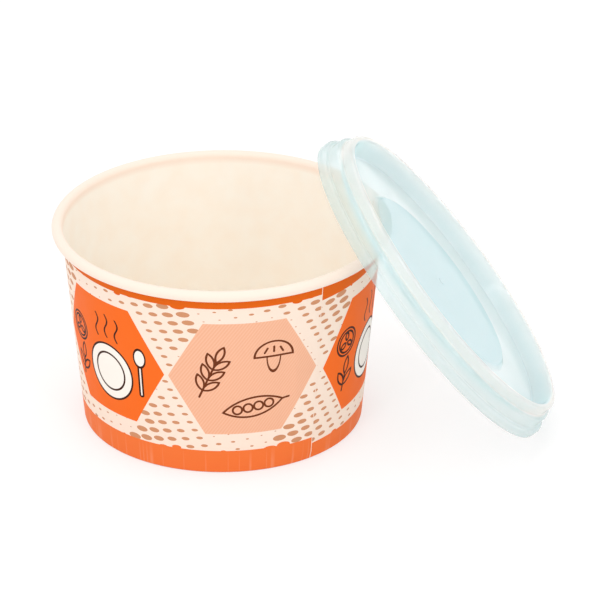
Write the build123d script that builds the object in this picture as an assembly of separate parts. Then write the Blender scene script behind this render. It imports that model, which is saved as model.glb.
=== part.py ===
from build123d import *
import math
import os

# A paper soup bowl with its lid taken off and leaned against it. The bowl stands on z = 0 about
# the Z axis, and the lid leans on the rim towards +X. Lengths are millimetres, angles degrees.

# The bowl's outer sizes
rim_diameter = 98.0
foot_diameter = 81.0
bowl_height = 61.0

# The board of the side wall: rolled outwards at the rim and folded up inside the foot
board_thickness = 0.45
roll_diameter = 3.2
roll_turn = 300.0
hem_height = 5.0
fold_inner_share = 0.25

# The seam: the wall's outer end laps over its inner end and is pressed into it
seam_angle = -54.0
lap_width = 7.0
lap_press_share = 0.75
lap_sink_share = 0.25
lap_end_gap = 0.3

# The base: a disc with its edge turned down into the fold of the foot
base_thickness = 0.40
base_recess = 6.0
base_bend_radius = 0.6
glue_gap = 0.05

# The lid: one moulding of even thickness, with a stepped skirt, a raised ring and, inside it, a
# sunk floor with a low panel on it
lid_thickness = 0.55
lid_clearance = 0.2
lip_overhang = 1.75
lip_height = 3.0
shoulder_width = 1.55
shoulder_height = 6.9
shoulder_rise = 0.4
lid_height = 9.9
plug_clearance = 0.3
plug_flare = 1.1
floor_height = 3.9
floor_corner_radius = 0.8
panel_diameter = 58.0
panel_rise = 1.05
panel_step_width = 1.6
panel_step_radius = 0.9
corner_share = 0.45
snap_bead_radius = 0.35
gate_diameter = 2.4
gate_height = 0.25

# How the lid leans: its axis rises this much above level, and its lower edge is on the table
lid_axis_rise = 38.2
lid_side_shift = -7.5
lid_rest_gap = 0.1

# Worked out from the sizes above
roll_radius = roll_diameter / 2
roll_centre_radius = rim_diameter / 2 - roll_radius
roll_centre_height = bowl_height - roll_radius
roll_middle_radius = roll_radius - board_thickness / 2
foot_radius = foot_diameter / 2
foot_to_roll = math.hypot(roll_centre_radius - foot_radius, roll_centre_height)
wall_lean = math.degrees(
    math.atan2(roll_centre_radius - foot_radius, roll_centre_height)
    - math.asin((roll_radius - board_thickness) / foot_to_roll)
)
fold_pocket = base_thickness + 2 * glue_gap
lap_step = board_thickness * lap_press_share
lap_sink = board_thickness * lap_sink_share


def wall_radius(depth, height):
    """Radius at a height of the cone that lies at a depth inside the wall's outer face."""
    lean = math.radians(wall_lean)
    return foot_radius + height * math.tan(lean) - depth / math.cos(lean)


def ribbon(path, thickness):
    """The half section of a sheet: a path in radius and height, thickened to both sides."""
    band = make_face(offset(path, amount=thickness / 2, kind=Kind.ARC, side=Side.BOTH))
    right_half = Rectangle(rim_diameter, 4 * bowl_height, align=(Align.MIN, Align.CENTER))
    return Plane.XZ * (band & right_half)


def lap_strip(depths, heights, turn, plane_depth):
    """A strip of the wall between two depths, which ends at the given turn round the axis.

    Its far end runs out on a flat that is tangent to the wall, as a sheet does that leaves a
    round and rides up on what lies under it.
    """
    ramp = math.degrees(math.acos((foot_radius - lap_sink) / (foot_radius + lap_step)))
    lap = math.degrees(lap_width / foot_radius)
    corners = [
        (wall_radius(depths[0], heights[0]), heights[0]),
        (wall_radius(depths[1], heights[0]), heights[0]),
        (wall_radius(depths[1], heights[1]), heights[1]),
        (wall_radius(depths[0], heights[1]), heights[1]),
    ]
    section = make_face(Polyline(*corners, close=True))
    strip = revolve(Plane.XZ * section, Axis.Z, lap + ramp)
    middle = sum(heights) / 2
    lean = math.radians(wall_lean)
    tangent = Plane(
        origin=(wall_radius(plane_depth, middle), 0, middle),
        x_dir=(0, 1, 0),
        z_dir=(math.cos(lean), 0, -math.sin(lean)),
    )
    under = tangent * Box(
        foot_diameter,
        bowl_height * 2,
        foot_radius,
        align=(Align.CENTER, Align.CENTER, Align.MAX),
    )
    return Rot(0, 0, turn - lap - ramp) * (strip & under)


def bowl_wall():
    """The wrapped sheet: hem, fold of the foot, cone and rolled rim in one section, with its lap."""
    half = board_thickness / 2
    hem_depth = half + board_thickness + fold_pocket
    lean = math.radians(wall_lean)
    roll_centre = (roll_centre_radius, roll_centre_height)
    roll_start = (
        roll_centre_radius - roll_middle_radius * math.cos(lean),
        roll_centre_height + roll_middle_radius * math.sin(lean),
    )
    fold_radius = half + fold_pocket * fold_inner_share
    foot_and_cone = FilletPolyline(
        (wall_radius(hem_depth, hem_height), hem_height),
        (wall_radius(hem_depth, half), half),
        (wall_radius(half, half), half),
        roll_start,
        radius=fold_radius,
    )
    roll = CenterArc(roll_centre, roll_middle_radius, 180 - wall_lean, -roll_turn)
    sheet = revolve(ribbon(foot_and_cone + roll, board_thickness), Axis.Z)

    lap_top = bowl_height - roll_diameter - lap_end_gap
    fold_top = board_thickness + fold_pocket + lap_end_gap
    base_top = base_recess + base_thickness + base_bend_radius + lap_end_gap
    lap = math.degrees(lap_width / foot_radius)
    outer_ply = lap_strip((half, -lap_step), (fold_top, lap_top), seam_angle, lap_sink)
    inner_relief = lap_strip(
        (board_thickness + half, board_thickness - lap_step),
        (base_top, lap_top),
        seam_angle - lap,
        board_thickness + lap_sink,
    )
    return sheet + outer_ply - inner_relief


def bowl_base():
    """The base disc, its edge bent down and standing between the wall and its hem."""
    half = base_thickness / 2
    skirt_depth = board_thickness + glue_gap + half
    skirt_end = board_thickness + glue_gap + half
    panel_height = base_recess + half
    path = FilletPolyline(
        (-base_thickness, panel_height),
        (wall_radius(skirt_depth, panel_height), panel_height),
        (wall_radius(skirt_depth, skirt_end), skirt_end),
        radius=base_bend_radius + half,
    )
    return revolve(ribbon(path, base_thickness), Axis.Z)


def lid_heights():
    """Middle heights of the lid's lip ledge, shoulder, top, floor and panel, above its lower edge."""
    half = lid_thickness / 2
    return (
        lip_height - half,
        shoulder_height - half,
        lid_height - half,
        floor_height - half,
        floor_height + panel_rise - half,
    )


def lid_lip_radius():
    """Middle radius of the skirt's lip, which is the lid's widest part."""
    return rim_diameter / 2 + lid_clearance + lip_overhang + lid_thickness / 2


def lid():
    """The lid about its own axis, its lower edge at height 0 and its top upwards."""
    half = lid_thickness / 2
    ledge, shoulder, top, floor, panel = lid_heights()
    lip = lid_lip_radius()
    skirt = lip - lip_overhang
    ring = skirt - shoulder_width
    plug = roll_centre_radius - roll_radius - plug_clearance - half
    ring_inner = plug + plug_flare
    lip_corner = lip_overhang * corner_share
    shoulder_corner = shoulder_width * corner_share
    ring_corner = (ring - ring_inner) * corner_share
    panel_radius = panel_diameter / 2
    path = FilletPolyline(
        (lip, half),
        (lip, ledge),
        (skirt, ledge),
        (skirt, shoulder - shoulder_rise),
        (ring, shoulder),
        (ring, top),
        (ring_inner, top),
        (plug, floor),
        (panel_radius + panel_step_width, floor),
        (panel_radius, panel),
        (-lid_thickness, panel),
        radius=[
            lip_corner,
            lip_corner,
            shoulder_corner,
            shoulder_corner,
            ring_corner,
            ring_corner,
            floor_corner_radius,
            panel_step_radius,
            panel_step_radius,
        ],
    )
    moulding = revolve(ribbon(path, lid_thickness), Axis.Z)
    bead_place = Pos(skirt - half, ledge + half + snap_bead_radius)
    snap_bead = revolve(Plane.XZ * (bead_place * Circle(snap_bead_radius)), Axis.Z)
    gate_mark = Pos(0, 0, panel) * Cylinder(
        gate_diameter / 2,
        half + gate_height,
        align=(Align.CENTER, Align.CENTER, Align.MIN),
    )
    return moulding + snap_bead + gate_mark


def leaning(shape):
    """Tilts the lid, stands its lip on the table and rests its panel on the rim."""
    rise = math.radians(lid_axis_rise)
    half = lid_thickness / 2
    panel_under = lid_heights()[-1] - half
    centre_height = lid_lip_radius() * math.cos(rise) + half * (1 - math.sin(rise))
    roll_above_centre = (roll_centre_height - centre_height) * math.sin(rise)
    beyond_roll = roll_above_centre + roll_radius + lid_rest_gap - panel_under
    centre_reach = roll_centre_radius + beyond_roll / math.cos(rise)
    return Pos(centre_reach, lid_side_shift, centre_height) * Rot(0, 90 - lid_axis_rise, 0) * shape


os.makedirs("parts", exist_ok=True)
nodes = {
    "bowl_wall": bowl_wall(),
    "bowl_base": bowl_base(),
    "lid": leaning(lid()),
}
for name, shape in nodes.items():
    export_step(shape, f"parts/{name}.step")
    print(name, "volume", round(shape.volume, 1), "box", shape.bounding_box().size)
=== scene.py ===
# %% [markdown]
# # A paper soup bowl and the lid that leans on it
#
# The bowl is one sheet of coated board, printed on one side, wrapped into a cone and lapped at a seam.
# Its top edge is rolled outwards and its lower edge is folded up round a base disc.
# The lid is one thin moulding of translucent plastic.
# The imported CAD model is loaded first, so that every surface below lies where its solid lies.

# %% Load the frame
import math

import bmesh
import bpy
import numpy as np
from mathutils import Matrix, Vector


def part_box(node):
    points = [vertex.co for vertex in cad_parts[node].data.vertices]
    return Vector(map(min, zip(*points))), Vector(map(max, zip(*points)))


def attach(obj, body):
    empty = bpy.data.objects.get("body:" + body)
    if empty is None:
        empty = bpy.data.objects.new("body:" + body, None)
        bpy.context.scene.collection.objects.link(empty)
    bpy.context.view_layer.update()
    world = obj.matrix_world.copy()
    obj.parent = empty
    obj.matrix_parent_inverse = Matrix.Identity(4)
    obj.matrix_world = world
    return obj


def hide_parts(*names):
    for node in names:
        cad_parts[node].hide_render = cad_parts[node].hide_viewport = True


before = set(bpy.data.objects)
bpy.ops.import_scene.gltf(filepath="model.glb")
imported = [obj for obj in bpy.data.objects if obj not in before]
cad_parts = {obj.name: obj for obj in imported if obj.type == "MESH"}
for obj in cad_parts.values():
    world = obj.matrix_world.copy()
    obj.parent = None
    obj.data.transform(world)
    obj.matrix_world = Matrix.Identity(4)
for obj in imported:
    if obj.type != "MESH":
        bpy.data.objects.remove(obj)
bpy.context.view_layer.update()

MM = 0.001
print("solids in the frame:", sorted(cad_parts))

# %% [markdown]
# ## A sheet seen from its cut edge
#
# Board and moulded plastic are both thin sheets of even thickness, so one drawing tool serves all pieces.
# A path runs along the middle of the sheet, in radius and height, with its corners rounded.
# Its two sides lie half a thickness to the left and right, and a half round closes each end.
# A modifier such as Solidify could thicken a surface too. Worked out one by one, each face knows which side
# of the sheet it is on, and so which finish it gets.

# %% The middle line of a sheet
ARC_STEPS = 8
STATION_GAP = 0.01


def rounded_path(corners, radii):
    """Corner points joined by straight runs, with a circular arc in place of each inner corner.

    An arc starts radius * tan(turn / 2) before its corner. From there it goes radius * sin(swing)
    ahead and radius * (1 - cos(swing)) to the side that the path turns to.
    Returns the points and, for each, the unit vector to the left of the path.
    """
    corners, radii = np.array(corners, float), np.array(radii, float)
    runs = np.diff(corners, axis=0)
    ahead = runs / np.linalg.norm(runs, axis=1, keepdims=True)
    left = np.stack([-ahead[:, 1], ahead[:, 0]], axis=1)
    turn = np.arctan2((left[:-1] * ahead[1:]).sum(1), (ahead[:-1] * ahead[1:]).sum(1))
    start = corners[1:-1] - (radii * np.tan(np.abs(turn) / 2))[:, None] * ahead[:-1]
    swing = turn[:, None] * np.linspace(0, 1, ARC_STEPS + 1)
    sine, cosine = np.sin(swing)[..., None], np.cos(swing)[..., None]
    side = np.sign(turn)[:, None, None]
    fore, aside = ahead[:-1, None, :], left[:-1, None, :]
    arcs = start[:, None, :] + radii[:, None, None] * (sine * side * fore + (1 - cosine) * side * aside)
    normals = cosine * aside - sine * fore
    points = np.vstack([corners[:1], arcs.reshape(-1, 2), corners[-1:]])
    return points, np.vstack([left[:1], normals.reshape(-1, 2), left[-1:]])


def with_stations(points, normals, spacing):
    """The same path with more points, so that no run between two of them is longer than the spacing."""
    along = np.r_[0, np.cumsum(np.linalg.norm(np.diff(points, axis=0), axis=1))]
    stations = np.unique(np.r_[along, np.arange(0, along[-1], spacing)])
    stations = stations[np.r_[True, np.diff(stations) > STATION_GAP]]
    values = [np.interp(stations, along, column) for column in (*points.T, *normals.T)]
    normals = np.stack(values[2:], axis=1)
    return np.stack(values[:2], axis=1), normals / np.linalg.norm(normals, axis=1, keepdims=True)


print("a rounded corner has", ARC_STEPS + 1, "points")

# %% From a line to the outline of a sheet
CAP_STEPS = 4


def round_end(point, normal, half, sign):
    """Points of a half round at an end of a sheet, from one side to the other."""
    swing = np.linspace(0, np.pi, CAP_STEPS + 2)[1:-1, None]
    ahead = np.array([normal[1], -normal[0]])
    return point + sign * half * (np.sin(swing) * ahead - np.cos(swing) * normal)


def sheet_outline(points, normals, half):
    """The sheet's right side from start to end, its far end, then its left side back to the start."""
    right, left = points - half * normals, points + half * normals
    far = round_end(points[-1], normals[-1], half, 1)
    near = round_end(points[0], normals[0], half, -1)
    return right, far, left[::-1], near


print("a sheet's round end has", CAP_STEPS, "points between its two sides")

# %% [markdown]
# ## Turning an outline into a mesh
#
# A lathe would make these shapes: the outline goes round the axis, and each pair of neighbours makes a
# ring of quads. Screw or Spin could do that in Blender. As one numpy grid, points can still be moved by
# their angle, which the seam needs. Where two columns of the grid meet, and at the axis, the doubled
# points are merged, so that every surface is closed.

# %% The turned surface
MERGE_DISTANCE = 1e-6
SHARP_ANGLE = math.radians(35)


def turned_mesh(name, grid, closed, materials, slots, maps):
    """A mesh from a grid of points, rows along the outline and columns round the axis.

    Quad (i, j) joins rows i and i + 1 with columns j and j + 1. Columns wrap round, and rows do if the
    outline is closed. Slots gives each quad its material, maps gives each corner its UV places.
    """
    rows, columns = grid.shape[:2]
    i, j = np.meshgrid(np.arange(rows if closed else rows - 1), np.arange(columns), indexing="ij")
    over, beside = (i + 1) % rows, (j + 1) % columns
    corners = [(i, j), (i, beside), (over, beside), (over, j)]
    faces = np.stack([row * columns + column for row, column in corners], axis=-1)
    mesh = bpy.data.meshes.new(name)
    mesh.from_pydata((grid * MM).reshape(-1, 3), [], faces.reshape(-1, 4))
    for material in materials:
        mesh.materials.append(material)
    mesh.polygons.foreach_set("material_index", slots.astype(np.int32).ravel())
    mesh.polygons.foreach_set("use_smooth", np.ones(i.size, dtype=bool))
    for layer, places in maps.items():
        mesh.uv_layers.new(name=layer).data.foreach_set("uv", places.astype(np.float32).ravel())
    shape = bmesh.new()
    shape.from_mesh(mesh)
    bmesh.ops.remove_doubles(shape, verts=shape.verts, dist=MERGE_DISTANCE)
    shape.to_mesh(mesh)
    shape.free()
    mesh.set_sharp_from_angle(angle=SHARP_ANGLE)
    piece = bpy.data.objects.new(name, mesh)
    bpy.context.scene.collection.objects.link(piece)
    print(name, "has", len(mesh.polygons), "faces")
    return piece


print("an edge is shaded sharp from", round(math.degrees(SHARP_ANGLE)), "degrees on")

# %% [markdown]
# ## Adding nodes
#
# Every finish below is drawn with shader nodes. One small function adds a node, sets it up and links what
# feeds it. Colours are written as sRGB hex values, as a paint program shows them, while Cycles works with
# linear light, so one function converts them.

# %% One helper for nodes, one for colours
MATH, VECTOR_MATH, MIX = "ShaderNodeMath", "ShaderNodeVectorMath", "ShaderNodeMix"
# Places of a colour Mix node's inputs: how much of the upper colour, the lower colour, the upper one
MIX_SHARE, MIX_UNDER, MIX_OVER = 0, 6, 7


def add(tree, kind, inputs=(), output=None, **settings):
    """Adds a node, sets its properties and inputs, and returns the named output, or its first one in use.

    An input that is a socket is linked, any other value is set. Inputs go by order, or by key in a dict.
    """
    node = tree.nodes.new(kind)
    for key, value in settings.items():
        setattr(node, key, value)
    for place, value in inputs.items() if isinstance(inputs, dict) else enumerate(inputs):
        if isinstance(value, bpy.types.NodeSocket):
            tree.links.new(value, node.inputs[place])
        else:
            node.inputs[place].default_value = value
    return node.outputs[output] if output else next((end for end in node.outputs if end.enabled), node)


def colour(hex_value):
    """Linear RGBA of an sRGB hex value: (c + 0.055) / 1.055 to the power 2.4, or c / 12.92 when dark."""
    srgb = np.array([int(hex_value[k : k + 2], 16) for k in (1, 3, 5)]) / 255
    linear = np.where(srgb > 0.04045, ((srgb + 0.055) / 1.055) ** 2.4, srgb / 12.92)
    return (*linear.tolist(), 1.0)


def new_material(name):
    """An empty node material, and its tree."""
    material = bpy.data.materials.new(name)
    material.use_nodes = True
    material.node_tree.nodes.clear()
    return material, material.node_tree


WHITE = colour("#ffffff")
print("white in linear light:", WHITE)

# %% [markdown]
# ## The inside: board with a polyethylene skin
#
# Cup board is bleached pulp, and the side that holds the soup has a thin skin of polyethylene melted onto
# it. The pulp gives a warm cream with very faint clouds, and the skin a soft, wide gleam that is slightly
# uneven. An image of paper could be mapped on. Noise on Object coordinates is enough, and its sizes are
# those of real clouds and fibres in millimetres.

# %% What every board has
CLOUD_SIZE, CLOUD_OCTAVES = 7.0, 3.0
FIBRE_SIZE, FIBRE_OCTAVES = 0.8, 4.0
FIBRE_DEPTH = 0.02
NOISE_DARK, NOISE_LIGHT = 0.3, 0.7
BOARD_IOR = 1.5
GLEAM_SPREAD = 0.05


def board_clouds(tree):
    """Soft clouds as pulp has them, from 0 to 1: noise with its middle values spread out."""
    place = add(tree, "ShaderNodeTexCoord", output="Object")
    sizes = {"Vector": place, "Scale": 1 / (CLOUD_SIZE * MM), "Detail": CLOUD_OCTAVES}
    noise = add(tree, "ShaderNodeTexNoise", sizes)
    return add(tree, "ShaderNodeMapRange", (noise, NOISE_DARK, NOISE_LIGHT, 0.0, 1.0))


def board_surface(tree, shade, clouds, roughness, bump, gloss_share):
    """A board's shader: its shade, a gleam that varies with the clouds, and a fine relief of fibres."""
    place = add(tree, "ShaderNodeTexCoord", output="Object")
    sizes = {"Vector": place, "Scale": 1 / (FIBRE_SIZE * MM), "Detail": FIBRE_OCTAVES}
    fibres = add(tree, "ShaderNodeTexNoise", sizes)
    relief = {"Strength": bump, "Distance": FIBRE_DEPTH * MM, "Height": fibres}
    dull, bright = roughness + GLEAM_SPREAD, roughness - GLEAM_SPREAD
    inputs = {
        "Base Color": shade,
        "Roughness": add(tree, "ShaderNodeMapRange", (clouds, 0.0, 1.0, dull, bright)),
        "Normal": add(tree, "ShaderNodeBump", relief),
        "IOR": BOARD_IOR,
        "Specular IOR Level": gloss_share,
    }
    surface = add(tree, "ShaderNodeBsdfPrincipled", inputs)
    add(tree, "ShaderNodeOutputMaterial", (surface,))


print("clouds of", CLOUD_SIZE, "mm and fibres of", FIBRE_SIZE, "mm")

# %% Coated board and its raw edge
# Painted shade: the rolled rim gets a deeper, warmer colour than the rest of the board.
ROLL_LOW, ROLL_HIGH = 57.6, 59.2
ROLL_PAINTED_SHADE = "#fce9da"
PLAIN_GLOSS_SHARE = 0.25
COATED_SHADES, COATED_ROUGHNESS, COATED_BUMP = ("#fff5e8", "#fff9ef"), 0.42, 0.25
EDGE_SHADES, EDGE_ROUGHNESS, EDGE_BUMP = ("#f9e4d2", "#fdf0e2"), 0.8, 1.0


def plain_board(name, shades, roughness, bump):
    """Unprinted board, clouded between two shades, with a deeper, warmer painted shade on the rolled rim."""
    material, tree = new_material(name)
    clouds = board_clouds(tree)
    dark, light = [colour(shade) for shade in shades]
    flat_shade = add(tree, MIX, {MIX_SHARE: clouds, MIX_UNDER: dark, MIX_OVER: light}, data_type="RGBA")
    place = add(tree, "ShaderNodeTexCoord", output="Object")
    height = add(tree, "ShaderNodeSeparateXYZ", (place,), output="Z")
    # Painted shade on the rolled rim, between its two heights
    rolled = add(tree, "ShaderNodeMapRange", (height, ROLL_LOW * MM, ROLL_HIGH * MM, 0.0, 1.0))
    with_painted_shade = {MIX_SHARE: rolled, MIX_UNDER: flat_shade, MIX_OVER: colour(ROLL_PAINTED_SHADE)}
    shade = add(tree, MIX, with_painted_shade, data_type="RGBA")
    board_surface(tree, shade, clouds, roughness, bump, PLAIN_GLOSS_SHARE)
    return material


# The skin is smooth and has a satin gleam. The cut edge is bare pulp, dull and furry.
coated_board = plain_board("cup_board_polyethylene_coated", COATED_SHADES, COATED_ROUGHNESS, COATED_BUMP)
raw_edge = plain_board("cup_board_cut_edge", EDGE_SHADES, EDGE_ROUGHNESS, EDGE_BUMP)
print("board finishes:", coated_board.name, raw_edge.name)

# %% [markdown]
# ## The print
#
# The sheet is printed flat, before it is wrapped. So the print is drawn on the sheet's own map: degrees
# round from the cut edge, and millimetres up from the foot. On the real sheet the print starts about 2 mm
# low at the cut edge and climbs to its height in the first quarter turn, so that it doesn't meet at the
# seam. An exponential that dies away with the turn gives that, with a slight fall after it.

# %% Places on the sheet
DEGREE_WIDTH = math.radians(43.4)
FRONT_TURN = 325.0
START_DROP = 3.2
START_TURN = 55.0
LATER_FALL = 0.0025
PANEL_COUNT = 6
PANEL_PITCH = 59.6
FIRST_PANEL = 32.3
PANEL_MIDDLE = 31.3


def sheet_places(tree):
    """Turn and height on the sheet, then the place in the nearest panel and that panel's number.

    Height is measured in the print: the sheet's height less the drift, which is minus the start's drop
    times e to the minus turn / start turn, less the later fall, and is nothing at the front.
    A panel's own place is the way across from its middle, in millimetres, and the way up.
    """
    sheet = add(tree, "ShaderNodeUVMap", uv_map="sheet")
    ends = add(tree, "ShaderNodeSeparateXYZ", (sheet,)).node.outputs
    turn, sheet_height = ends["X"], ends["Y"]
    at_front = START_DROP * math.exp(-FRONT_TURN / START_TURN) + LATER_FALL * FRONT_TURN
    start_share = add(tree, MATH, (turn, -1 / START_TURN), operation="MULTIPLY")
    start_share = add(tree, MATH, (start_share,), operation="EXPONENT")
    later = add(tree, MATH, (turn, LATER_FALL, sheet_height), operation="MULTIPLY_ADD")
    early = add(tree, MATH, (start_share, START_DROP, later), operation="MULTIPLY_ADD")
    height = add(tree, MATH, (early, at_front), operation="SUBTRACT")
    start = 0.5 - FIRST_PANEL / PANEL_PITCH
    count = add(tree, MATH, (turn, 1 / PANEL_PITCH, start), operation="MULTIPLY_ADD")
    whole = add(tree, MATH, (count,), operation="FLOOR")
    number = add(tree, "ShaderNodeClamp", (whole, 0, PANEL_COUNT - 1))
    middle = add(tree, MATH, (number, PANEL_PITCH, FIRST_PANEL), operation="MULTIPLY_ADD")
    off_middle = add(tree, MATH, (turn, middle), operation="SUBTRACT")
    across = add(tree, MATH, (off_middle, DEGREE_WIDTH), operation="MULTIPLY")
    up = add(tree, MATH, (height, PANEL_MIDDLE), operation="SUBTRACT")
    return turn, height, across, up, number


print("a panel is", round(PANEL_PITCH * DEGREE_WIDTH, 1), "mm from the next one")

# %% [markdown]
# ### Six-sided panels and halftone dots
#
# Panels in two colours stand side by side. A point is inside one if it is past neither the level nor the
# slanted edges. Between the panels and the bands lies a screen of flat dots on a slanted lattice.
# They grow along each panel's edge and towards the bands, and start small again at the next panel. The
# lower half is the upper one turned half round. Each dot takes its size from its own middle, so none is cut.

# %% Panel edges
PANEL_HALF_HEIGHT = 18.35
PANEL_HALF_WIDTH = 22.0
PANEL_SLOPE_SHARE = 0.57


def panel_edge(tree, across, up):
    """How far a place is outside a panel: the larger of its ways past the level and the slanted edges."""
    wide = add(tree, MATH, (across,), operation="ABSOLUTE")
    tall = add(tree, MATH, (up,), operation="ABSOLUTE")
    level = add(tree, MATH, (tall, PANEL_HALF_HEIGHT), operation="SUBTRACT")
    reach = add(tree, MATH, (tall, PANEL_SLOPE_SHARE, wide), operation="MULTIPLY_ADD")
    slanted = add(tree, MATH, (reach, PANEL_HALF_WIDTH), operation="SUBTRACT")
    return add(tree, MATH, (level, slanted), operation="MAXIMUM")


print("a panel is", 2 * PANEL_HALF_WIDTH, "by", 2 * PANEL_HALF_HEIGHT, "mm")

# %% The dots' lattice
DOT_ORIGIN = np.array([302.265, 51.43])
DOT_ROW = np.array([5.672, 0.704])
DOT_COLUMN = np.array([1.836, -2.525])


def dot_offset(tree, turn, height):
    """The way from the nearest dot's middle, in degrees and millimetres.

    A place is written as so many rows and columns of the lattice. The parts left over from whole
    numbers, times the lattice's two steps, are the way from the nearest crossing.
    """
    from_turn = add(tree, MATH, (turn, DOT_ORIGIN[0]), operation="SUBTRACT")
    from_height = add(tree, MATH, (height, DOT_ORIGIN[1]), operation="SUBTRACT")
    lattice = np.linalg.inv(np.stack([DOT_ROW, DOT_COLUMN], axis=1))
    left_over = []
    for by_degree, by_mm in lattice:
        by_turn = add(tree, MATH, (from_turn, by_degree), operation="MULTIPLY")
        steps = add(tree, MATH, (from_height, by_mm, by_turn), operation="MULTIPLY_ADD")
        left_over.append(add(tree, MATH, (steps, 0.5, -0.5), operation="WRAP"))
    offset = []
    for row_step, column_step in zip(DOT_ROW, DOT_COLUMN):
        by_row = add(tree, MATH, (left_over[0], row_step), operation="MULTIPLY")
        offset.append(add(tree, MATH, (left_over[1], column_step, by_row), operation="MULTIPLY_ADD"))
    return offset


print("dots in a row are", round(DOT_ROW[0] * DEGREE_WIDTH, 2), "mm apart")

# %% How wide a dot is
DOT_SMALLEST = 0.6
DOT_GROWTH = 3.65
DOT_GROWTH_POWER = 1.35
DOT_FADE_SHARE = 0.12
DOT_FULL_HEIGHT = 21.0
DOT_EDGE = 1.0
DOT_RESTART_SHARE = 1.25


def dot_width(tree, across, up):
    """How wide a dot is that has its middle here.

    It grows with a power of the way from the panel's edge to the next panel's, and fades towards
    the middle height. Close to an edge it is as small as dots get. Above a panel's top the dots
    start again further back than its edge.
    """
    pitch = PANEL_PITCH * DEGREE_WIDTH
    side = add(tree, MATH, (up,), operation="SIGN")
    tall = add(tree, MATH, (up,), operation="ABSOLUTE")
    mirrored = add(tree, MATH, (across, side), operation="MULTIPLY")
    from_edge = add(tree, MATH, (tall, -PANEL_SLOPE_SHARE, mirrored), operation="MULTIPLY_ADD")
    above = add(tree, MATH, (up, PANEL_HALF_HEIGHT), operation="SUBTRACT")
    above = add(tree, MATH, (above, 0.0), operation="MAXIMUM")
    early = add(tree, MATH, (above, DOT_RESTART_SHARE, from_edge), operation="MULTIPLY_ADD")
    moved = add(tree, MATH, (early, PANEL_HALF_WIDTH), operation="ADD")
    along = add(tree, MATH, (moved, pitch, 0.0), operation="WRAP")
    pitch_share = add(tree, MATH, (along, pitch), operation="DIVIDE")
    grown = add(tree, MATH, (pitch_share, DOT_GROWTH_POWER), operation="POWER")
    full = add(tree, MATH, (grown, DOT_GROWTH, DOT_SMALLEST), operation="MULTIPLY_ADD")
    below = add(tree, MATH, (tall, DOT_FULL_HEIGHT), operation="SUBTRACT")
    faded = add(tree, MATH, (below, DOT_FADE_SHARE, full), operation="MULTIPLY_ADD")
    nearest = add(tree, MATH, (across, pitch / 2, -pitch / 2), operation="WRAP")
    clear = add(tree, MATH, (panel_edge(tree, nearest, up), DOT_EDGE), operation="GREATER_THAN")
    shown = add(tree, MATH, (faded, clear), operation="MULTIPLY")
    return add(tree, MATH, (shown, DOT_SMALLEST), operation="MAXIMUM")


print("a dot is", DOT_SMALLEST, "to", DOT_SMALLEST + DOT_GROWTH, "mm wide")

# %% [markdown]
# ### Pen drawings for the panels
#
# In the panels stand small kitchen drawings in pen lines of even width. A place is inked where it is nearer
# to a line's middle than half the pen, so each line is a distance, and the least of many distances is all
# of them drawn together. They could be painted as an image. As distances they stay sharp at any size, and
# all sizes are in millimetres.

# %% Straight lines, circles and leaves
def straight(tree, spot, start, end):
    """Distance from a straight line: the place along it is held between its ends, and the rest is left."""
    run = np.subtract(end, start)
    turn = math.atan2(run[1], run[0])
    inputs = {"Vector": spot, "Location": (*start, 0.0), "Rotation": (0.0, 0.0, turn)}
    local = add(tree, "ShaderNodeMapping", inputs, vector_type="TEXTURE")
    after_start = add(tree, VECTOR_MATH, (local, (0.0, 0.0, 0.0)), operation="MAXIMUM")
    nearest = add(tree, VECTOR_MATH, (after_start, (np.linalg.norm(run), 0.0, 0.0)), operation="MINIMUM")
    return add(tree, VECTOR_MATH, (local, nearest), operation="DISTANCE")


def ring(tree, spot, centre, radius):
    """Distance from a circle, below zero inside it: the way to its centre less its radius."""
    reach = add(tree, VECTOR_MATH, (spot, (*centre, 0.0)), operation="DISTANCE")
    return add(tree, MATH, (reach, radius), operation="SUBTRACT")


def leaf(tree, spot, centre, turn, half_length, half_width):
    """Distance from a leaf, where two discs overlap. Folded over both its axes, one disc is left."""
    radius = (half_length**2 + half_width**2) / (2 * half_width)
    inputs = {"Vector": spot, "Location": (*centre, 0.0), "Rotation": (0.0, 0.0, math.radians(turn))}
    local = add(tree, "ShaderNodeMapping", inputs, vector_type="TEXTURE")
    folded = add(tree, VECTOR_MATH, (local,), operation="ABSOLUTE")
    reach = add(tree, VECTOR_MATH, (folded, (0.0, half_width - radius, 0.0)), operation="DISTANCE")
    return add(tree, MATH, (reach, radius), operation="SUBTRACT")


print("strokes so far:", straight.__name__, ring.__name__, leaf.__name__)

# %% Ovals and waves
def oval(tree, spot, centre, half_width, half_height):
    """About the distance from an oval: the place counted in half axes, less one, times their mean."""
    inputs = {"Vector": spot, "Location": (*centre, 0.0), "Scale": (half_width, half_height, 1.0)}
    local = add(tree, "ShaderNodeMapping", inputs, vector_type="TEXTURE")
    reach = add(tree, VECTOR_MATH, (local,), operation="LENGTH")
    mean = math.sqrt(half_width * half_height)
    return add(tree, MATH, (reach, mean, -mean), operation="MULTIPLY_ADD")


def half_oval(tree, spot, centre, half_width, height):
    """Distance from the half of an oval above its middle, or below it if the height is negative."""
    whole = oval(tree, spot, centre, half_width, abs(height))
    side = math.copysign(1.0, height)
    past = add(tree, VECTOR_MATH, (spot, (0.0, -side, 0.0)), operation="DOT_PRODUCT")
    beyond = add(tree, MATH, (past, side * centre[1]), operation="ADD")
    return add(tree, MATH, (whole, beyond), operation="MAXIMUM")


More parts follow.
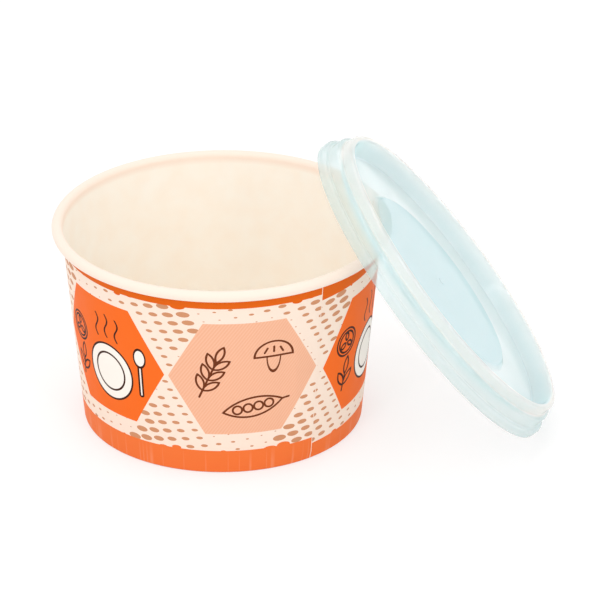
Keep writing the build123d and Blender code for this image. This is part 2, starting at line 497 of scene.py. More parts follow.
def wave(tree, spot, centre, half_height, swing, pitch):
    """Distance from a rising wave: the way across less swing times sine of the way up, cut at its ends."""
    inputs = {"Vector": spot, "Location": (*centre, 0.0)}
    local = add(tree, "ShaderNodeMapping", inputs, vector_type="TEXTURE")
    ends = add(tree, "ShaderNodeSeparateXYZ", (local,)).node.outputs
    angle = add(tree, MATH, (ends["Y"], math.tau / pitch), operation="MULTIPLY")
    sine = add(tree, MATH, (angle,), operation="SINE")
    off = add(tree, MATH, (sine, -swing, ends["X"]), operation="MULTIPLY_ADD")
    wide = add(tree, MATH, (off,), operation="ABSOLUTE")
    tall = add(tree, MATH, (ends["Y"],), operation="ABSOLUTE")
    past_end = add(tree, MATH, (tall, half_height), operation="SUBTRACT")
    return add(tree, MATH, (wide, past_end), operation="MAXIMUM")


def least_distance(tree, spot, rows, outlines):
    """The least distance from the shapes in rows. With outlines, both sides of a line are away from it."""
    least = None
    for shape, *sizes in rows:
        off = shape(tree, spot, *sizes)
        if outlines:
            off = add(tree, MATH, (off,), operation="ABSOLUTE")
        least = off if least is None else add(tree, MATH, (least, off), operation="MINIMUM")
    return least


print("more strokes:", oval.__name__, half_oval.__name__, wave.__name__)

# %% What the pale panels show
LEAF_SPREAD = 38.0
LEAF_HALF_LENGTH, LEAF_HALF_WIDTH = 2.7, 1.05


def sprig(base, tip, leaf_shares):
    """Rows for a stem with a pair of leaves at each share of its length, and one leaf on its tip."""
    base, tip = np.array(base), np.array(tip)
    rise = math.degrees(math.atan2(*(tip - base)[::-1]))
    rows = [(straight, base, tip)]
    leaves = [(share, side * LEAF_SPREAD) for share in leaf_shares for side in (-1, 1)]
    for share, spread in [*leaves, (1.0, 0.0)]:
        turn = rise + spread
        ahead = np.array([math.cos(math.radians(turn)), math.sin(math.radians(turn))])
        middle = base + share * (tip - base) + LEAF_HALF_LENGTH * ahead
        rows.append((leaf, middle, turn, LEAF_HALF_LENGTH, LEAF_HALF_WIDTH))
    return rows


MUSHROOM = [
    (half_oval, (8.3, 6.6), 5.6, 4.9),
    (half_oval, (8.3, 6.6), 2.0, -5.0),
    (straight, (5.6, 7.9), (6.4, 9.3)),
    (straight, (8.3, 8.1), (8.3, 9.7)),
    (straight, (11.0, 7.9), (10.2, 9.3)),
]
POD_TURN, POD_HALF_LENGTH, POD_HALF_WIDTH = 10.0, 8.9, 3.1
POD_MIDDLE = np.array([2.6, -9.6])
POD_AHEAD = np.array([math.cos(math.radians(POD_TURN)), math.sin(math.radians(POD_TURN))])
STALK_START, STALK_END = 8.7, 10.9
PEA_RADIUS = 1.35
PEA_PLACES = (-4.7, -1.55, 1.6, 4.75)
PEA_POD = [
    (leaf, POD_MIDDLE, POD_TURN, POD_HALF_LENGTH, POD_HALF_WIDTH),
    (straight, POD_MIDDLE + STALK_START * POD_AHEAD, POD_MIDDLE + STALK_END * POD_AHEAD),
    *[(ring, POD_MIDDLE + place * POD_AHEAD, PEA_RADIUS) for place in PEA_PLACES],
]
TALL_SPRIG = ((-13.0, -6.0), (-8.0, 5.6), (0.2, 0.5, 0.8))
PEACH_DRAWING = [*MUSHROOM, *PEA_POD, *sprig(*TALL_SPRIG)]
print("lines in a pale panel:", len(PEACH_DRAWING))

# %% What the orange panels show
PLATE, PLATE_RADIUS, PLATE_WELL = (2.4, -4.6), 8.8, 5.9
SPOON_BOWL, SPOON_TIP = (14.2, 3.4), (14.2, -8.6)
SPOON_HALF_WIDTH, SPOON_HALF_LENGTH, HANDLE_HALF_WIDTH = 1.9, 2.9, 0.55
STEAM_PLACES = ((-1.6, 9.6), (2.4, 10.2), (6.4, 9.6))
STEAM_HALF_HEIGHT, STEAM_SWING, STEAM_PITCH = 3.5, 0.7, 7.0
SLICE, SLICE_RADIUS, SLICE_FLESH = (-12.2, 4.4), 4.3, 3.3
SEEDS = (((0.0, 1.75), 90.0), ((-1.5, -0.9), 210.0), ((1.5, -0.9), 330.0))
SEED_HALF_LENGTH, SEED_HALF_WIDTH = 1.25, 0.7
SHORT_SPRIG = ((-12.8, -11.4), (-11.9, -6.2), (0.35,))
WHITE_SHAPES = [
    (ring, PLATE, PLATE_RADIUS),
    (oval, SPOON_BOWL, SPOON_HALF_WIDTH, SPOON_HALF_LENGTH),
]
ORANGE_DRAWING = [
    *WHITE_SHAPES,
    (ring, PLATE, PLATE_WELL),
    *[(wave, place, STEAM_HALF_HEIGHT, STEAM_SWING, STEAM_PITCH) for place in STEAM_PLACES],
    (ring, SLICE, SLICE_RADIUS),
    *[(leaf, np.add(SLICE, place), turn, SEED_HALF_LENGTH, SEED_HALF_WIDTH) for place, turn in SEEDS],
    (ring, SLICE, SLICE_FLESH),
    *sprig(*SHORT_SPRIG),
]
print("lines in an orange panel:", len(ORANGE_DRAWING))

# %% [markdown]
# ### Pale streaks in the lower band
#
# In the lower band the ink is paler in short upright streaks that start at the edge and die out upwards.
# One-dimensional noise along the turn crosses its middle value at uneven places, and each crossing
# is a streak.

# %% Pale streaks
CREASE_SPACING, CREASE_OCTAVES = 9.0, 2.0
CREASE_WIDTH = 0.03
CREASE_TOP, CREASE_FULL = 7.6, 1.5
CREASE_SHARE = 0.22
NOISE_MIDDLE = 0.5


def creases(tree, turn, height):
    """One in the middle of a pale streak at the foot, none beside it or at the streaks' top."""
    place = add(tree, MATH, (turn, CREASE_SPACING), operation="DIVIDE")
    sizes = {"W": place, "Scale": 1.0, "Detail": CREASE_OCTAVES}
    noise = add(tree, "ShaderNodeTexNoise", sizes, noise_dimensions="1D")
    off = add(tree, MATH, (noise, NOISE_MIDDLE), operation="SUBTRACT")
    off = add(tree, MATH, (off,), operation="ABSOLUTE")
    line = add(tree, "ShaderNodeMapRange", (off, 0.0, CREASE_WIDTH, CREASE_SHARE, 0.0))
    low = add(tree, "ShaderNodeMapRange", (height, CREASE_FULL, CREASE_TOP, 1.0, 0.0))
    return add(tree, MATH, (line, low), operation="MULTIPLY")


print("creases reach", CREASE_TOP, "mm up the sheet")

# %% [markdown]
# ### Putting the print together
#
# Ink lies in layers: the bare coated ground, the dots, the panels, the drawings in them, and the two bands.
# Each layer is a mask that mixes its colour over what lies below it. A dot that has its middle in a band is
# printed with the band, so the bands' edges are scalloped. The pale panels are printed through a fine line
# screen. Along the sheet's cut edge the knife has left a narrow bare margin, which shows the seam as a pale
# line.

# %% Dots and bands
DOT_FLATNESS_SHARE = 0.46
BAND_DOT_REACH = 0.3


def dots_on_sheet(tree, turn, height, across, up):
    """The dots' mask, and the height of the nearest dot's middle.

    A place is in a dot if its way from the dot's middle, with the way up divided by the dot's
    flatness, is less than half the dot's width.
    """
    off_turn, off_height = dot_offset(tree, turn, height)
    off_across = add(tree, MATH, (off_turn, DEGREE_WIDTH), operation="MULTIPLY")
    dot_across = add(tree, MATH, (across, off_across), operation="SUBTRACT")
    dot_up = add(tree, MATH, (up, off_height), operation="SUBTRACT")
    tall = add(tree, MATH, (off_height, DOT_FLATNESS_SHARE), operation="DIVIDE")
    off = add(tree, "ShaderNodeCombineXYZ", (off_across, tall))
    reach = add(tree, VECTOR_MATH, (off,), operation="LENGTH")
    half_width = add(tree, MATH, (dot_width(tree, dot_across, dot_up), 0.5), operation="MULTIPLY")
    dots = add(tree, MATH, (reach, half_width), operation="LESS_THAN")
    return dots, add(tree, MATH, (dot_up, PANEL_MIDDLE), operation="ADD")


def band_mask(tree, height, dots, dot_height, edge, side):
    """One in a band that starts at an edge and goes on to a side, and in the dots that belong to it."""
    operation = "GREATER_THAN" if side > 0 else "LESS_THAN"
    band = add(tree, MATH, (height, edge), operation=operation)
    in_band = add(tree, MATH, (dot_height, edge - side * BAND_DOT_REACH), operation=operation)
    scallops = add(tree, MATH, (dots, in_band), operation="MULTIPLY")
    return add(tree, MATH, (band, scallops), operation="MAXIMUM")


print("a dot is", DOT_FLATNESS_SHARE, "times as tall as wide")

# %% Panels and what is drawn in them
PEN_WIDTH = 0.62
SCREEN_PITCH = 0.8  # the real screen is about half as coarse, too fine to show
SCREEN_TURN = math.radians(-35)
ORANGE_PANEL = "#f96f20"
PEACH_PANEL, PEACH_SCREEN = "#f7bf9f", "#f3b492"
BROWN_PEN, DARK_PEN = "#6e3519", "#3d1a0d"
PLATE_WHITE = "#fff7ee"


def panel_fields(tree, across, up, number):
    """Masks of the orange panels and of the pale ones, which have the odd numbers."""
    panels = add(tree, MATH, (panel_edge(tree, across, up), 0.0), operation="LESS_THAN")
    odd = add(tree, MATH, (number, 2.0), operation="MODULO")
    on_peach = add(tree, MATH, (panels, odd), operation="MULTIPLY")
    return add(tree, MATH, (panels, on_peach), operation="SUBTRACT"), on_peach


def screened_ink(tree, spot):
    """The pale panels' ink: two shades, mixed by the sine of the way across the screen's lines."""
    direction = (math.cos(SCREEN_TURN), math.sin(SCREEN_TURN), 0.0)
    steps = [part * math.tau / SCREEN_PITCH for part in direction]
    angle = add(tree, VECTOR_MATH, (spot, steps), operation="DOT_PRODUCT")
    screen = add(tree, MATH, (angle,), operation="SINE")
    screen_share = add(tree, MATH, (screen, 0.5, 0.5), operation="MULTIPLY_ADD")
    inks = {MIX_SHARE: screen_share, MIX_UNDER: colour(PEACH_PANEL), MIX_OVER: colour(PEACH_SCREEN)}
    return add(tree, MIX, inks, data_type="RGBA")


def panel_layers(tree, across, up, number):
    """Masks and inks of the panels and of the drawings in them."""
    on_orange, on_peach = panel_fields(tree, across, up, number)
    spot = add(tree, "ShaderNodeCombineXYZ", (across, up))
    layers = [(on_orange, colour(ORANGE_PANEL)), (on_peach, screened_ink(tree, spot))]
    handle = straight(tree, spot, SPOON_BOWL, SPOON_TIP)
    handle = add(tree, MATH, (handle, HANDLE_HALF_WIDTH), operation="SUBTRACT")
    white = least_distance(tree, spot, WHITE_SHAPES, False)
    white = add(tree, MATH, (white, handle), operation="MINIMUM")
    edge = add(tree, MATH, (white,), operation="ABSOLUTE")
    orange_lines = least_distance(tree, spot, ORANGE_DRAWING, True)
    orange_lines = add(tree, MATH, (orange_lines, edge), operation="MINIMUM")
    peach_lines = least_distance(tree, spot, PEACH_DRAWING, True)
    for field, distance, reach, ink in (
        (on_orange, white, 0.0, PLATE_WHITE),
        (on_orange, orange_lines, PEN_WIDTH / 2, DARK_PEN),
        (on_peach, peach_lines, PEN_WIDTH / 2, BROWN_PEN),
    ):
        inked = add(tree, MATH, (distance, reach), operation="LESS_THAN")
        layers.append((add(tree, MATH, (inked, field), operation="MULTIPLY"), colour(ink)))
    return layers


print("the pen is", PEN_WIDTH, "mm wide")

# %% The printed board
LOWER_BAND, UPPER_BAND = 7.27, 54.55
CUT_MARGIN = 359.7
GROUND, DOT_INK = "#fde8d7", "#d2946d"
LOWER_BAND_INK, PALE_STREAK_INK = "#f57a3b", "#ffc9a6"
UPPER_BAND_INK = "#e5660f"
PRINT_ROUGHNESS, PRINT_BUMP, PRINT_GLOSS_SHARE = 0.5, 0.15, 0.1


def printed_board():
    """Board with its print: one mask per layer, mixed from the ground up."""
    material, tree = new_material("cup_board_offset_print")
    turn, height, across, up, number = sheet_places(tree)
    dots, dot_height = dots_on_sheet(tree, turn, height, across, up)
    # paler upright streaks in the lower band's ink, dying out upwards from the foot
    streaks = creases(tree, turn, height)
    streaked = {MIX_SHARE: streaks, MIX_UNDER: colour(LOWER_BAND_INK), MIX_OVER: colour(PALE_STREAK_INK)}
    lower_ink = add(tree, MIX, streaked, data_type="RGBA")
    layers = [
        (dots, colour(DOT_INK)),
        *panel_layers(tree, across, up, number),
        (band_mask(tree, height, dots, dot_height, LOWER_BAND, -1), lower_ink),
        (band_mask(tree, height, dots, dot_height, UPPER_BAND, 1), colour(UPPER_BAND_INK)),
        (add(tree, MATH, (turn, CUT_MARGIN), operation="GREATER_THAN"), colour(GROUND)),
    ]
    shade = colour(GROUND)
    for mask, ink in layers:
        shade = add(tree, MIX, {MIX_SHARE: mask, MIX_UNDER: shade, MIX_OVER: ink}, data_type="RGBA")
    board_surface(tree, shade, board_clouds(tree), PRINT_ROUGHNESS, PRINT_BUMP, PRINT_GLOSS_SHARE)
    return material


# Offset ink sinks into the board, so the print is duller than the coated side.
print_finish = printed_board()
print("the print has", len(print_finish.node_tree.nodes), "nodes")

# %% [markdown]
# ## The bowl's wall
#
# One sheet makes the hem inside the foot, the fold, the cone and the rolled rim. The print is on the sheet's
# right side, which is outside on the cone, under the foot and hidden in the roll. The left side is the
# coated inside, and shows again on the outside of the roll. At the seam the sheet's end lies on its own
# beginning.

# %% The wall's section
_, wall_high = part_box("bowl_wall")
RIM_RADIUS = wall_high.x / MM
BOWL_HEIGHT = wall_high.z / MM
FOOT_RADIUS = 40.5
BOARD = 0.45
ROLL_RADIUS = 1.6
ROLL_TURN = math.radians(300)
ROLL_STEPS = 60
HEM_HEIGHT = 5.0
HEM_DEPTH = 1.175
FOLD_RADIUS = 0.35
WALL_SPACING = 2.0

roll_centre = np.array([RIM_RADIUS - ROLL_RADIUS, BOWL_HEIGHT - ROLL_RADIUS])
foot_to_roll = math.hypot(roll_centre[0] - FOOT_RADIUS, roll_centre[1])
lean = math.atan2(roll_centre[0] - FOOT_RADIUS, roll_centre[1])
lean -= math.asin((ROLL_RADIUS - BOARD) / foot_to_roll)


def wall_radius(depth, height):
    """Radius of the cone that lies at a depth inside the wall's outer face."""
    return FOOT_RADIUS + height * math.tan(lean) - depth / math.cos(lean)


def wall_path():
    """The middle of the sheet: hem, fold, cone, and an arc for the roll."""
    half = BOARD / 2
    roll_middle = ROLL_RADIUS - half
    angle = math.pi - lean - np.linspace(0, ROLL_TURN, ROLL_STEPS + 1)
    outward = np.stack([np.cos(angle), np.sin(angle)], axis=1)
    corners = [
        (wall_radius(HEM_DEPTH, HEM_HEIGHT), HEM_HEIGHT),
        (wall_radius(HEM_DEPTH, half), half),
        (wall_radius(half, half), half),
        roll_centre + roll_middle * outward[0],
    ]
    points, normals = rounded_path(corners, [FOLD_RADIUS, FOLD_RADIUS])
    points, normals = with_stations(points, normals, WALL_SPACING)
    points = np.vstack([points, roll_centre + roll_middle * outward[1:]])
    return points, np.vstack([normals, outward[1:]])


path, path_normals = wall_path()
print("the wall leans", round(math.degrees(lean), 2), "degrees, its section has", len(path), "stations")

# %% [markdown]
# ### The lapped seam
#
# Where the outer end of the sheet rides up on the inner end, it leaves the round on a tangent: at an angle a
# past the point where it leaves, a straight line is 1 / cos(a) times as far from the axis. It stays one
# board higher, pressed a little, up to its cut edge. Inside the bowl the inner end's cut edge stands up in
# the same way. Both cut edges are two columns of the grid at the same angle, so they are as sharp as a
# knife leaves them.

# %% How far the plies stand off
LAP_WIDTH = 7.0
LAP_ANGLE = LAP_WIDTH / FOOT_RADIUS
LAP_STEP = 0.3375
LAP_SINK = 0.1125
FADE_REACH = 1.0
ramp = math.acos((FOOT_RADIUS - LAP_SINK) / (FOOT_RADIUS + LAP_STEP))


def lap_rise(past):
    """How far a ply stands off the round at an angle past the point where it leaves it, up to its step."""
    flat = (FOOT_RADIUS - LAP_SINK) / np.cos(np.clip(past, 0, ramp)) - FOOT_RADIUS
    return np.where(past > 0, np.clip(flat, 0, LAP_STEP), 0)


def fade(height, low, high):
    """One between two heights, running out to nothing towards each: 3 s^2 - 2 s^3 over the fade's reach."""
    rise = np.clip(np.minimum(height - low, high - height) / FADE_REACH, 0, 1)
    return rise * rise * (3 - 2 * rise)


print("the lap climbs over", round(math.degrees(ramp), 2), "degrees")

# %% The wall's points
SEAM_ANGLE = math.radians(-54)
LAP_LOW, LAP_HIGH = 1.25, 57.5
LAP_INSIDE_LOW = 7.3
COLUMNS = 421


def wall_grid(outline, printed):
    """Points of the wall, rows along its outline and columns round the axis from the cut edge.

    The lap moves the printed side of the cone, and the inner edge's step moves its coated side,
    both outwards by the lap's rise at that angle times its fade at that height.
    """
    full = 2 * math.pi
    inner_edge = full - LAP_ANGLE
    turn = np.sort(np.r_[np.linspace(0, full, COLUMNS), inner_edge, inner_edge])
    first = int(np.searchsorted(turn, inner_edge))
    past_outer = turn - (full - LAP_ANGLE - ramp)
    past_inner = turn - (full - 2 * LAP_ANGLE - ramp)
    past_inner[first + 1 :] = 0
    radius, height = outline.T
    coated = ~printed & (radius < roll_centre[0])
    outer_share = fade(height, LAP_LOW, LAP_HIGH) * printed
    inner_share = fade(height, LAP_INSIDE_LOW, LAP_HIGH) * coated
    moved = radius[:, None] + np.outer(outer_share, lap_rise(past_outer))
    moved = moved + np.outer(inner_share, lap_rise(past_inner))
    angle = turn + SEAM_ANGLE
    level = height[:, None] + 0 * moved
    grid = np.stack([moved * np.cos(angle), moved * np.sin(angle), level], axis=-1)
    return grid, np.degrees(turn), first


sides = sheet_outline(path, path_normals, BOARD / 2)
outline = np.vstack(sides)
part = np.repeat(np.arange(4), [len(side) for side in sides])
grid, turns, inner_column = wall_grid(outline, part == 0)
print("the wall's grid is", grid.shape[0], "by", grid.shape[1])

# %% [markdown]
# ### Two maps for the wall
#
# The first map is the flat sheet itself, in degrees and millimetres, and the print reads it. The second one,
# named OFBake, is where a game engine's texture would lie: the print gets most of the square, as two strips
# of half a turn each, and the plain inside a narrow one.

# %% The wall's maps
PRINT_STRIPS = ((0.01, 0.42), (0.43, 0.84))
OTHER_STRIPS = ((0.85, 0.858), (0.87, 0.965), (0.972, 0.98))
EDGE_STRIP = (0.985, 0.995)
HALF_TURN, FULL_TURN = 180.0, 360.0
# A quad's four corners, counted in rows and columns from its first one
ROW_STEP, COLUMN_STEP = np.array([0, 0, 1, 1]), np.array([0, 1, 1, 0])


def wall_maps(outline, part, turns, cut_columns, roll_along):
    """Sheet places and texture places for the four corners of each quad.

    A place on the sheet is its turn and, on the printed side, the roll's height plus its way along
    the outline past the roll's start, times the cosine of the lean. A place in the texture is its
    share of the turn, and its share of the way along its side, within that side's strip.
    """
    rows, columns = len(outline), len(turns)
    row = np.arange(rows)[:, None, None]
    column = np.arange(columns)[None, :, None]
    turn = np.r_[turns, turns[-1]][column + COLUMN_STEP] + 0.0 * row
    steps = np.linalg.norm(np.diff(np.vstack([outline, outline[:1]]), axis=0), axis=1)
    along = np.r_[0, np.cumsum(steps)]
    cone = part == 0
    height = np.zeros(rows + 1)
    height[:rows][cone] = BOWL_HEIGHT - ROLL_RADIUS + (along[:rows][cone] - roll_along) * math.cos(lean)
    sheet = np.stack([turn, height[row + ROW_STEP] + 0.0 * turn], axis=-1)

    on_cone = cone[:, None, None]
    starts = np.array([along[:rows][part == k].min() for k in range(4)] + [along[-1]])
    share = (along[row + ROW_STEP] - starts[part][:, None, None]) / np.diff(starts)[part][:, None, None]
    second = (turns[column] >= HALF_TURN) & on_cone
    strips = np.array([PRINT_STRIPS[0], *OTHER_STRIPS])[part][:, None, None, :]
    strips = np.where(second[..., None], PRINT_STRIPS[1], strips)
    place = strips[..., 0] + (strips[..., 1] - strips[..., 0]) * share
    turn_share = (turn - HALF_TURN * second) / np.where(on_cone, HALF_TURN, FULL_TURN)
    texture = np.stack([turn_share, place + 0.0 * turn], axis=-1)
    edge_place = np.broadcast_to(np.where(COLUMN_STEP, *EDGE_STRIP), share.shape)
    texture[:, cut_columns] = np.stack([share + 0.0 * turn[:, :1], edge_place], axis=-1)
    return {"sheet": sheet, "OFBake": texture}


roll_along = np.linalg.norm(np.diff(sides[0], axis=0), axis=1)[: len(path) - ROLL_STEPS - 1].sum()
cut_columns = [inner_column, len(turns) - 1]
maps = wall_maps(outline, part, turns, cut_columns, roll_along)
print("the sheet is", round(roll_along, 1), "mm long from its hem to the roll")

# %% The wall's mesh
WALL_FINISHES = [print_finish, coated_board, raw_edge]
RAW_SLOT = 2
# Slots of the sheet's right side, far end, left side and near end
SIDE_SLOTS = np.array([0, RAW_SLOT, 1, RAW_SLOT])

wall_slots = SIDE_SLOTS[part][:, None] + np.zeros(len(turns), int)
wall_slots[:, cut_columns] = RAW_SLOT
wall = turned_mesh("bowl_wall_board", grid, True, WALL_FINISHES, wall_slots, maps)

# %% [markdown]
# ## The base
#
# The base is a disc of the same coated board. Its edge is bent down and stands in the fold of the foot,
# so that from inside the bowl only a rounded corner shows.

# %% The base's mesh
BASE_BOARD = 0.40
BASE_HEIGHT = 6.2
BASE_DEPTH = 0.7
BASE_BEND = 0.8
BASE_COLUMNS = 240
DISC_SPACING = 4.0


def turned_grid(outline, columns):
    """An outline carried round the axis at even angles: radius times cosine and sine, and height."""
    angle = np.linspace(0, 2 * np.pi, columns, endpoint=False)
    turning = (np.cos(angle), np.sin(angle), np.ones(columns))
    radius, height = outline.T
    return np.stack([np.outer(*pair) for pair in zip((radius, radius, height), turning)], axis=-1)


base_corners = [
    (0.0, BASE_HEIGHT),
    (wall_radius(BASE_DEPTH, BASE_HEIGHT), BASE_HEIGHT),
    (wall_radius(BASE_DEPTH, BASE_DEPTH), BASE_DEPTH),
]
base_path = with_stations(*rounded_path(base_corners, [BASE_BEND]), DISC_SPACING)
underside, skirt_end, topside, _ = sheet_outline(*base_path, BASE_BOARD / 2)
base_grid = turned_grid(np.vstack([underside, skirt_end, topside]), BASE_COLUMNS)
base_slots = np.zeros((len(base_grid) - 1, base_grid.shape[1]), int)
base = turned_mesh("bowl_base_board", base_grid, False, [coated_board], base_slots, {})

# %% [markdown]
# ## The lid's plastic
#
# Such lids are moulded from polypropylene, which is clear but a little milky, and looks faintly blue against
# white. Light that enters the thin sheet is scattered in it and comes out on both sides, so the lid glows
# rather than shades. Each face mirrors more the flatter it is looked at, so its share of what is seen grows
# there: Schlick's rule, the fifth power of one less the cosine. Real glass shading would bend light too, but
# a sheet this thin hardly does.
# Tint and milk are given in rings, by the radius in the lid's section: panel, floor, plug wall, the ring's
# top, and the skirt with its lip. Some tints are painted light: the panel's deeper blue is painted shade
# from what lies behind it, the ring's warm white is painted warm light from the bowl's inside, and the
# teal of the skirt and lip is painted shade.

# %% Polypropylene
LID_REACH = 52.0
# Radius in millimetres, tint with any painted light in it, and the share of light that the milk keeps
LID_ZONES_WITH_PAINTED_LIGHT = [
    # painted shade: the panel's deeper blue
    (29.2, "#aed9e0", 0.22),
    (30.8, "#d8f1f4", 0.15),
    (44.0, "#d8f1f4", 0.15),
    (44.8, "#d2eff8", 0.27),
    (46.2, "#d2eff8", 0.27),
    # painted warm light from the bowl's inside: the ring's warm white
    (46.7, "#f6f2ea", 0.28),
    (48.3, "#f6f2ea", 0.28),
    # painted shade: the teal of the skirt and lip
    (49.0, "#cfe5e4", 0.28),
    (51.4, "#c2dcdc", 0.28),
]


def lid_zones(tree):
    """Sockets for tint, partly painted light, and milk: a colour ramp on the radius, with milk as alpha."""
    section = add(tree, "ShaderNodeUVMap", uv_map="section")
    radius = add(tree, "ShaderNodeSeparateXYZ", (section,), output="X")
    reach_share = add(tree, MATH, (radius, LID_REACH), operation="DIVIDE")
    zones = add(tree, "ShaderNodeValToRGB", (reach_share,)).node
    stops = zones.color_ramp.elements
    for reach, tint, milk_share in LID_ZONES_WITH_PAINTED_LIGHT:
        stops.new(reach / LID_REACH).color = (*colour(tint)[:3], milk_share)
    stops.remove(stops[0])
    stops.remove(stops[-1])
    return zones.outputs["Color"], zones.outputs["Alpha"]


print("the plastic has", len(LID_ZONES_WITH_PAINTED_LIGHT), "stops from its panel to its lip")

# %% The lid's finish
SCHLICK_POWER = 5.0
FACING_BLEND = 0.5
LID_IOR = 1.49
LID_ROUGHNESS, LID_ROUGHNESS_SPREAD = 0.09, 0.03
LID_SCATTER = 1.5
EVEN_SCATTER = (1.0, 1.0, 1.0)
FLOW_SIZE, FLOW_OCTAVES = 5.0, 2.0
FLOW_DEPTH, FLOW_BUMP = 0.08, 0.1


def moulded_plastic():
    """Milky clear plastic with a soft gleam and the faint waves that flow leaves in a thin moulding.

    What it hides is milk + (1 - milk) * facing to the fifth power. Its tint is partly painted light.
    """
    material, tree = new_material("polypropylene_moulded_clear")
    place = add(tree, "ShaderNodeTexCoord", output="Object")
    sizes = {"Vector": place, "Scale": 1 / (FLOW_SIZE * MM), "Detail": FLOW_OCTAVES}
    flow = add(tree, "ShaderNodeTexNoise", sizes)
    relief = {"Strength": FLOW_BUMP, "Distance": FLOW_DEPTH * MM, "Height": flow}
    dull, bright = LID_ROUGHNESS + LID_ROUGHNESS_SPREAD, LID_ROUGHNESS - LID_ROUGHNESS_SPREAD
    tint, milk = lid_zones(tree)
    facing = add(tree, "ShaderNodeLayerWeight", {"Blend": FACING_BLEND}, output="Facing")
    mirrored = add(tree, MATH, (facing, SCHLICK_POWER), operation="POWER")
    passed = add(tree, MATH, (1.0, milk), operation="SUBTRACT")
    inputs = {
        "Base Color": tint,
        "Roughness": add(tree, "ShaderNodeMapRange", (flow, NOISE_DARK, NOISE_LIGHT, dull, bright)),
        "Normal": add(tree, "ShaderNodeBump", relief),
        "IOR": LID_IOR,
        "Alpha": add(tree, MATH, (mirrored, passed, milk), operation="MULTIPLY_ADD"),
        "Subsurface Weight": 1.0,
        "Subsurface Radius": EVEN_SCATTER,
        "Subsurface Scale": LID_SCATTER * MM,
    }
    surface = add(tree, "ShaderNodeBsdfPrincipled", inputs)
    add(tree, "ShaderNodeOutputMaterial", (surface,))
    return material


# A polished mould leaves the plastic smooth, so lamps show in it as clear lines.
lid_plastic = moulded_plastic()
print("the lid's finish is", lid_plastic.name)

# %% [markdown]
# ## The lid
#
# The section starts at the lip that grips below the rolled rim, goes up the skirt and over the hollow ring,
# down the plug wall that sits inside the bowl, and along the sunk floor to a low panel with its gate mark in
# the middle. It is turned about its own axis first, then tipped over and set down where the CAD has it.

# %% The lid's section
LID_SHEET = 0.55
LID_CORNERS = [
    (51.225, 0.275),
    (51.225, 2.725),
    (49.475, 2.725),
    (49.475, 6.225),
    (47.925, 6.625),
    (47.925, 9.625),
    (46.325, 9.625),
    (45.225, 3.625),
    (30.6, 3.625),
    (29.0, 4.675),
    (0.0, 4.675),
]
LID_RADII = [0.7875, 0.7875, 0.6975, 0.6975, 0.72, 0.72, 0.8, 0.9, 0.9]
GATE_RADIUS, GATE_RISE = 1.2, 0.25
GATE_SHARES = [(1.08, 0.0), (1.0, 0.3), (0.86, 0.8), (0.65, 1.0), (0.0, 1.0)]
BEAD_RADIUS = 0.35
BEAD_CENTRE = np.array([49.2, 3.35])
BEAD_START, BEAD_END, BEAD_POINTS = 110, 250, 12


def lid_outline():
    """The lid's section from the axis along its underside, round the lip and back along its top."""
    points, normals = with_stations(*rounded_path(LID_CORNERS, LID_RADII), DISC_SPACING)
    top, _, under, lip = sheet_outline(points, normals, LID_SHEET / 2)
    swing = np.radians(np.linspace(BEAD_START, BEAD_END, BEAD_POINTS))
    bead = BEAD_CENTRE + BEAD_RADIUS * np.stack([np.cos(swing), np.sin(swing)], axis=1)
    off_bead = np.abs(under - BEAD_CENTRE)
    near_bead = (off_bead[:, 1] < BEAD_RADIUS) & (off_bead[:, 0] < 2 * BEAD_RADIUS)
    first = int(np.argmax(near_bead))
    under = np.vstack([under[:first], bead, under[first:][~near_bead[first:]]])
    gate = np.array([0.0, top[-1, 1]]) + np.array(GATE_SHARES) * [GATE_RADIUS, GATE_RISE]
    return np.vstack([under, lip, top[:-1], gate])


lid_section = lid_outline()
print("the lid's section has", len(lid_section), "stations")

# %% The lid's mesh
LID_AXIS_RISE = math.radians(38.2)
LID_PLACE = np.array([58.947, -7.5, 40.361])
LID_COLUMNS = 400

axis = np.array([math.cos(LID_AXIS_RISE), 0, math.sin(LID_AXIS_RISE)])
steepest = np.array([math.sin(LID_AXIS_RISE), 0, -math.cos(LID_AXIS_RISE)])
level = np.array([0, 1, 0])
lid_grid = turned_grid(lid_section, LID_COLUMNS) @ np.stack([steepest, level, axis]) + LID_PLACE
lid_slots = np.zeros((len(lid_grid) - 1, lid_grid.shape[1]), int)
lid_rows = np.arange(len(lid_grid) - 1)[:, None, None] + ROW_STEP
section_places = np.broadcast_to(lid_section[lid_rows], (*lid_slots.shape, 4, 2))
lid = turned_mesh("lid_moulding", lid_grid, False, [lid_plastic], lid_slots, {"section": section_places})
lid_low, lid_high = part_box("lid")
low_gap = np.array(lid_low) / MM - lid_grid.min((0, 1))
high_gap = np.array(lid_high) / MM - lid_grid.max((0, 1))
print("lid box, CAD less scene, in mm:", low_gap.round(3), high_gap.round(3))

# %% [markdown]
# ## Floor, light and camera
#
# The photograph is a studio shot on white. A wide pale floor takes the object's soft shadow, and the world
# gives even light from all round. Two narrow strips in front show in the glossy plastic as lines, and a
# broad box above gives the forms a direction.
# To the camera and in gloss the world is plain white. The floor adds a little of its own light there, so it
# reads as white paper.

# %% The floor
FLOOR_RADIUS, FLOOR_POINTS = 2.0, 96
FLOOR_DROP = 0.05
PAPER_SHARE, DIM_PAPER_SHARE = 0.85, 0.45
PAPER_GLOW = 0.58


def seen_directly(tree):
    """One for light that the camera sees at once, in gloss or through plastic, else zero."""
    ends = add(tree, "ShaderNodeLightPath").node.outputs
    gloss = add(tree, MATH, (ends["Is Glossy Ray"], ends["Is Transmission Ray"]), operation="MAXIMUM")
    return add(tree, MATH, (ends["Is Camera Ray"], gloss), operation="MAXIMUM")


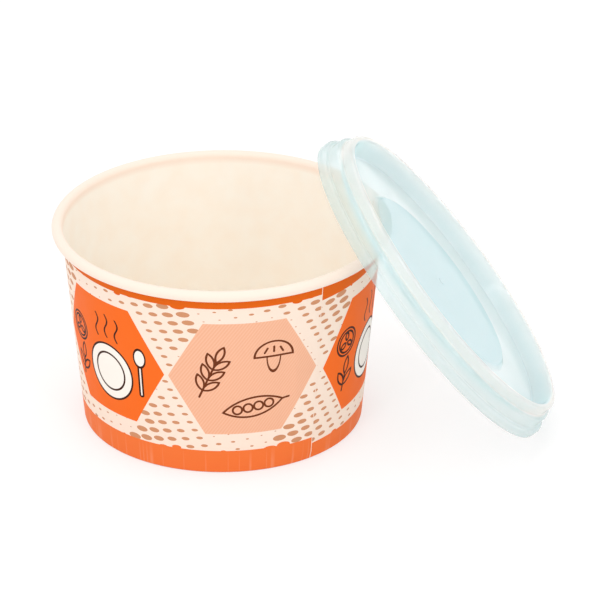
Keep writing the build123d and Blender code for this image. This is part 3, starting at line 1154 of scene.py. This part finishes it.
def floor_paper():
    """White paper. Where it is seen directly, part of its light is its own, so its shadow stays soft."""
    material, tree = new_material("studio_floor_paper")
    direct = seen_directly(tree)
    paper, dim_paper = [
        add(tree, "ShaderNodeBsdfDiffuse", {"Color": (share, share, share, 1.0)})
        for share in (PAPER_SHARE, DIM_PAPER_SHARE)
    ]
    glow = add(tree, "ShaderNodeEmission", {"Color": WHITE, "Strength": PAPER_GLOW})
    bright = add(tree, "ShaderNodeAddShader", (dim_paper, glow))
    surface = add(tree, "ShaderNodeMixShader", (direct, paper, bright))
    add(tree, "ShaderNodeOutputMaterial", (surface,))
    return material


def studio_floor():
    """A flat round sheet just below the object: radius times cosine and sine of the angle."""
    angle = np.linspace(0, 2 * np.pi, FLOOR_POINTS, endpoint=False)
    edge = FLOOR_RADIUS * np.stack([np.cos(angle), np.sin(angle), 0 * angle], axis=1)
    mesh = bpy.data.meshes.new("studio_floor")
    mesh.from_pydata(edge, [], [np.arange(FLOOR_POINTS)])
    mesh.materials.append(floor_paper())
    floor = bpy.data.objects.new("studio_floor", mesh)
    floor.location.z = -FLOOR_DROP * MM
    bpy.context.scene.collection.objects.link(floor)
    return floor


floor = studio_floor()
print("the floor is", 2 * FLOOR_RADIUS, "m wide")

# %% The world
WORLD_LIGHT = 0.98
CLEAR_LAYERS = 32

scene = bpy.context.scene
world = bpy.data.worlds.new("studio")
world.use_nodes = True
world.node_tree.nodes.clear()
direct = seen_directly(world.node_tree)
strength = add(world.node_tree, "ShaderNodeMapRange", (direct, 0.0, 1.0, WORLD_LIGHT, 1.0))
sky = add(world.node_tree, "ShaderNodeBackground", {"Color": WHITE, "Strength": strength})
add(world.node_tree, "ShaderNodeOutputWorld", (sky,))
scene.world = world
scene.view_settings.view_transform = "Standard"
scene.cycles.transparent_max_bounces = CLEAR_LAYERS
print("light passes through up to", CLEAR_LAYERS, "faces of clear plastic")

# %% Lamps
LAMP_TARGET = Vector((0, 0, 30))
# Place in millimetres, power in watts, width and height in metres
LAMPS = {
    "key_strip": (Vector((-420, -900, 950)), 1.7, 0.05, 0.9),
    "fill_strip": (Vector((450, -1050, 650)), 1.2, 0.05, 0.9),
    "top_box": (Vector((-100, -100, 1500)), 1.3, 0.8, 0.8),
}


def aimed(thing, place, target):
    """Puts a lamp or camera at a place and points it at a target, both in millimetres."""
    thing.location = place * MM
    thing.rotation_euler = (target - place).to_track_quat("-Z", "Y").to_euler()
    scene.collection.objects.link(thing)


for name, (place, power, width, height) in LAMPS.items():
    lamp_data = bpy.data.lights.new(name, "AREA")
    lamp_data.shape = "RECTANGLE"
    lamp_data.size = width
    lamp_data.size_y = height
    lamp_data.energy = power
    aimed(bpy.data.objects.new(name, lamp_data), place, LAMP_TARGET)
print("lamps:", list(LAMPS))

# %% The camera
CAMERA_TURN = math.radians(-2.76)
CAMERA_RISE = math.radians(26.23)
CAMERA_DISTANCE = 1500.0
CAMERA_LENS, CAMERA_SENSOR = 310.07, 36.0
CAMERA_TARGET = Vector((22.584, -1.089, 34.91))

camera_data = bpy.data.cameras.new("photo_camera")
camera_data.lens = CAMERA_LENS
camera_data.sensor_width = CAMERA_SENSOR
level_share = math.cos(CAMERA_RISE)
sideways, backwards = math.sin(CAMERA_TURN) * level_share, -math.cos(CAMERA_TURN) * level_share
back = Vector((sideways, backwards, math.sin(CAMERA_RISE)))
camera = bpy.data.objects.new("photo_camera", camera_data)
aimed(camera, CAMERA_TARGET + back * CAMERA_DISTANCE, CAMERA_TARGET)
scene.camera = camera
print("camera at", [round(value, 3) for value in camera.location])

# %% [markdown]
# ## The pieces and their body
#
# Each new surface stands for its CAD solid and moves with the one body.

# %% Bodies
PIECES = (
    (wall, "bowl_wall", "printed_board"),
    (base, "bowl_base", "coated_board"),
    (lid, "lid", "clear_plastic"),
)
for piece, node, slot in PIECES:
    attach(piece, "root")
    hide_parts(node)
